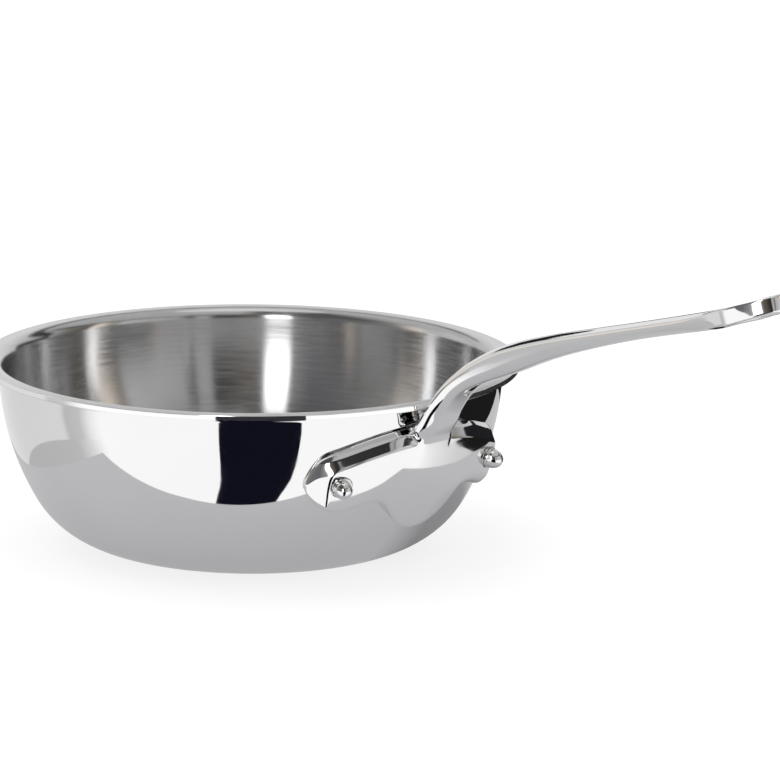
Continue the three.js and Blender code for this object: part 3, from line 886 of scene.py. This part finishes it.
def card(name, edges, steps, place, colour):
    """A dark card in front of the rings; place gives the point at a share of the way across an edge."""
    bpy.ops.object.select_all(action="DESELECT")
    last = len(edges) - 1
    bpy.ops.mesh.primitive_grid_add(x_subdivisions=steps, y_subdivisions=last, size=1)
    piece = bpy.context.object
    piece.name = name
    for point in piece.data.vertices:
        edge = edges[round((point.co.y + 0.5) * last)]
        point.co = place(edge, point.co.x + 0.5)
    material, _, _, glow = glow_set(name)
    glow.inputs["Color"].default_value = (*colour, 1)
    piece.data.materials.append(material)
    only_reflected(piece)


def ring_place(edge, share):
    height, left, right = edge
    return heading_point(left + (right - left) * share, CARD_RADIUS, height)


def strip_place(edge, share):
    x, low, high = edge
    return Vector((x, STRIP_BACK, low + (high - low) * share))


def table_top():
    """The small grey table under the pan, which its outside mirrors; its glow carries a painted shadow of
    the pan.
    """
    bpy.ops.object.select_all(action="DESELECT")
    bpy.ops.mesh.primitive_circle_add(vertices=len(TABLE_CORNERS), fill_type="NGON")
    table = bpy.context.object
    table.name = "table_top"
    front = heading_point(TABLE_AHEAD, 1, 0)
    left = heading_point(TABLE_LEFT, 1, 0)
    for point, (ahead, aside) in zip(table.data.vertices, TABLE_CORNERS):
        point.co = front * ahead + left * aside + Vector((0, 0, TABLE_LEVEL))
    material, nodes, links, shader = node_set("table_grey")
    shader.inputs["Base Color"].default_value = (*TABLE_GREY, 1)
    shader.inputs["Roughness"].default_value = TABLE_ROUGHNESS
    shader.inputs["Specular IOR Level"].default_value = 0
    shader.inputs["Emission Color"].default_value = (*TABLE_TINT, 1)
    # Painted shadow: the glow is lower near a point beside the pan, where the pan's shadow would fall.
    away = worked_out(nodes, links, "ShaderNodeVectorMath", "DISTANCE", object_place(nodes))
    away.inputs[1].default_value = (*TABLE_PAINTED_SHADOW_AT, 0)
    shade = carried(nodes, links, away.outputs["Value"], TABLE_PAINTED_SHADOW_REACH, TABLE_GLOW)
    links.new(shade, shader.inputs["Emission Strength"])
    table.data.materials.append(material)
    only_reflected(table)


def white_floor():
    bpy.ops.object.select_all(action="DESELECT")
    bpy.ops.mesh.primitive_plane_add(size=FLOOR_SIZE, location=(0, 0, FLOOR_LEVEL))
    floor = bpy.context.object
    floor.name = "floor"
    material, _, _, shader = node_set("floor_white")
    shader.inputs["Base Color"].default_value = (*grey(FLOOR_GREY), 1)
    shader.inputs["Roughness"].default_value = 1
    shader.inputs["Specular IOR Level"].default_value = 0
    shader.inputs["Emission Color"].default_value = (1, 1, 1, 1)
    shader.inputs["Emission Strength"].default_value = FLOOR_GLOW
    floor.data.materials.append(material)
    floor.visible_glossy = False


def studio():
    white_floor()
    table_top()
    rings = {
        "low_ring": LOW_RING,
        "rim_ring": RIM_RING,
        "eye_ring": EYE_RING,
        "high_ring": HIGH_RING,
        "top_ring": TOP_RING,
    }
    for (name, stops), low, high in zip(rings.items(), RING_HEIGHTS, RING_HEIGHTS[1:]):
        ring_wall(name, low, high, stops)
    card("front_flag", FLAG_EDGES, CARD_STEPS, ring_place, FLAG_BLACK)
    card("side_card", SIDE_EDGES, CARD_STEPS, ring_place, SIDE_BLACK)
    card("strip_card", STRIP_EDGES, 1, strip_place, STRIP_BLACK)


def sky():
    """White to the eye and to reflections, a little softer as a light."""
    world = bpy.data.worlds.new("studio_air")
    bpy.context.scene.world = world
    world.use_nodes = True
    nodes = world.node_tree.nodes
    links = world.node_tree.links
    soft = nodes["Background"]
    soft.inputs["Color"].default_value = (1, 1, 1, 1)
    soft.inputs["Strength"].default_value = AIR_LIGHT
    seen = nodes.new("ShaderNodeBackground")
    seen.inputs["Color"].default_value = (1, 1, 1, 1)
    seen.inputs["Strength"].default_value = 1
    rays = nodes.new("ShaderNodeLightPath").outputs
    straight = (rays["Is Camera Ray"], rays["Is Glossy Ray"])
    both = worked_out(nodes, links, "ShaderNodeMath", "ADD", *straight).outputs["Value"]
    every = worked_out(nodes, links, "ShaderNodeMath", "ADD", both, rays["Is Transmission Ray"])
    every.use_clamp = True
    mix = nodes.new("ShaderNodeMixShader")
    links.new(every.outputs["Value"], mix.inputs["Fac"])
    links.new(soft.outputs["Background"], mix.inputs[1])
    links.new(seen.outputs["Background"], mix.inputs[2])
    links.new(mix.outputs["Shader"], nodes["World Output"].inputs["Surface"])


def lamp():
    data = bpy.data.lights.new("top_light", "AREA")
    data.shape = "DISK"
    data.size = LAMP_SIZE
    data.energy = LAMP_POWER
    light = bpy.data.objects.new("top_light", data)
    light.location = LAMP_AT
    light.rotation_euler = (-light.location).to_track_quat("-Z", "Y").to_euler()
    light.visible_glossy = False
    bpy.context.collection.objects.link(light)


def camera():
    data = bpy.data.cameras.new("photo_camera")
    data.lens = CAMERA_LENS
    data.sensor_width = SENSOR
    data.clip_end = CAMERA_CLIP
    eye = bpy.data.objects.new("photo_camera", data)
    columns = (Vector(CAMERA_RIGHT), Vector(CAMERA_UP), -Vector(CAMERA_FORWARD))
    turn = Matrix([column.normalized() for column in columns]).transposed().to_4x4()
    eye.matrix_world = Matrix.Translation(CAMERA_AT) @ turn
    bpy.context.collection.objects.link(eye)
    bpy.context.scene.camera = eye


mirror = polished_steel("mirror_steel", MIRROR_FINISH)
cast = polished_steel("cast_polish", CAST_FINISH)
headed = polished_steel("rivet_polish", RIVET_FINISH)
satin = brushed_steel("satin_steel")
aluminium = rolled_aluminium("rolled_aluminium")

dress(bowl_outside("bowl_outside"), mirror, "outer_shell")
depth = OUTER + BOND_LINE
for name, node, thick in (
    ("core_foil_outer", "bond_sheet_outer", BOND_SHEET),
    ("core_plate", "core_sheet", CORE),
    ("core_foil_inner", "bond_sheet_inner", BOND_SHEET),
):
    dress(bowl_sheet(name, depth, thick), aluminium, node)
    depth += thick + BOND_LINE
dress(bowl_liner("bowl_liner"), satin, "inner_liner")
dress(handle("cast_handle"), cast, "handle")
dress(rivet("rivet_head_left", 1), headed, "rivet_left")
dress(rivet("rivet_head_right", -1), headed, "rivet_right")

studio()
sky()
lamp()
camera()
bpy.context.scene.view_settings.view_transform = "Standard"
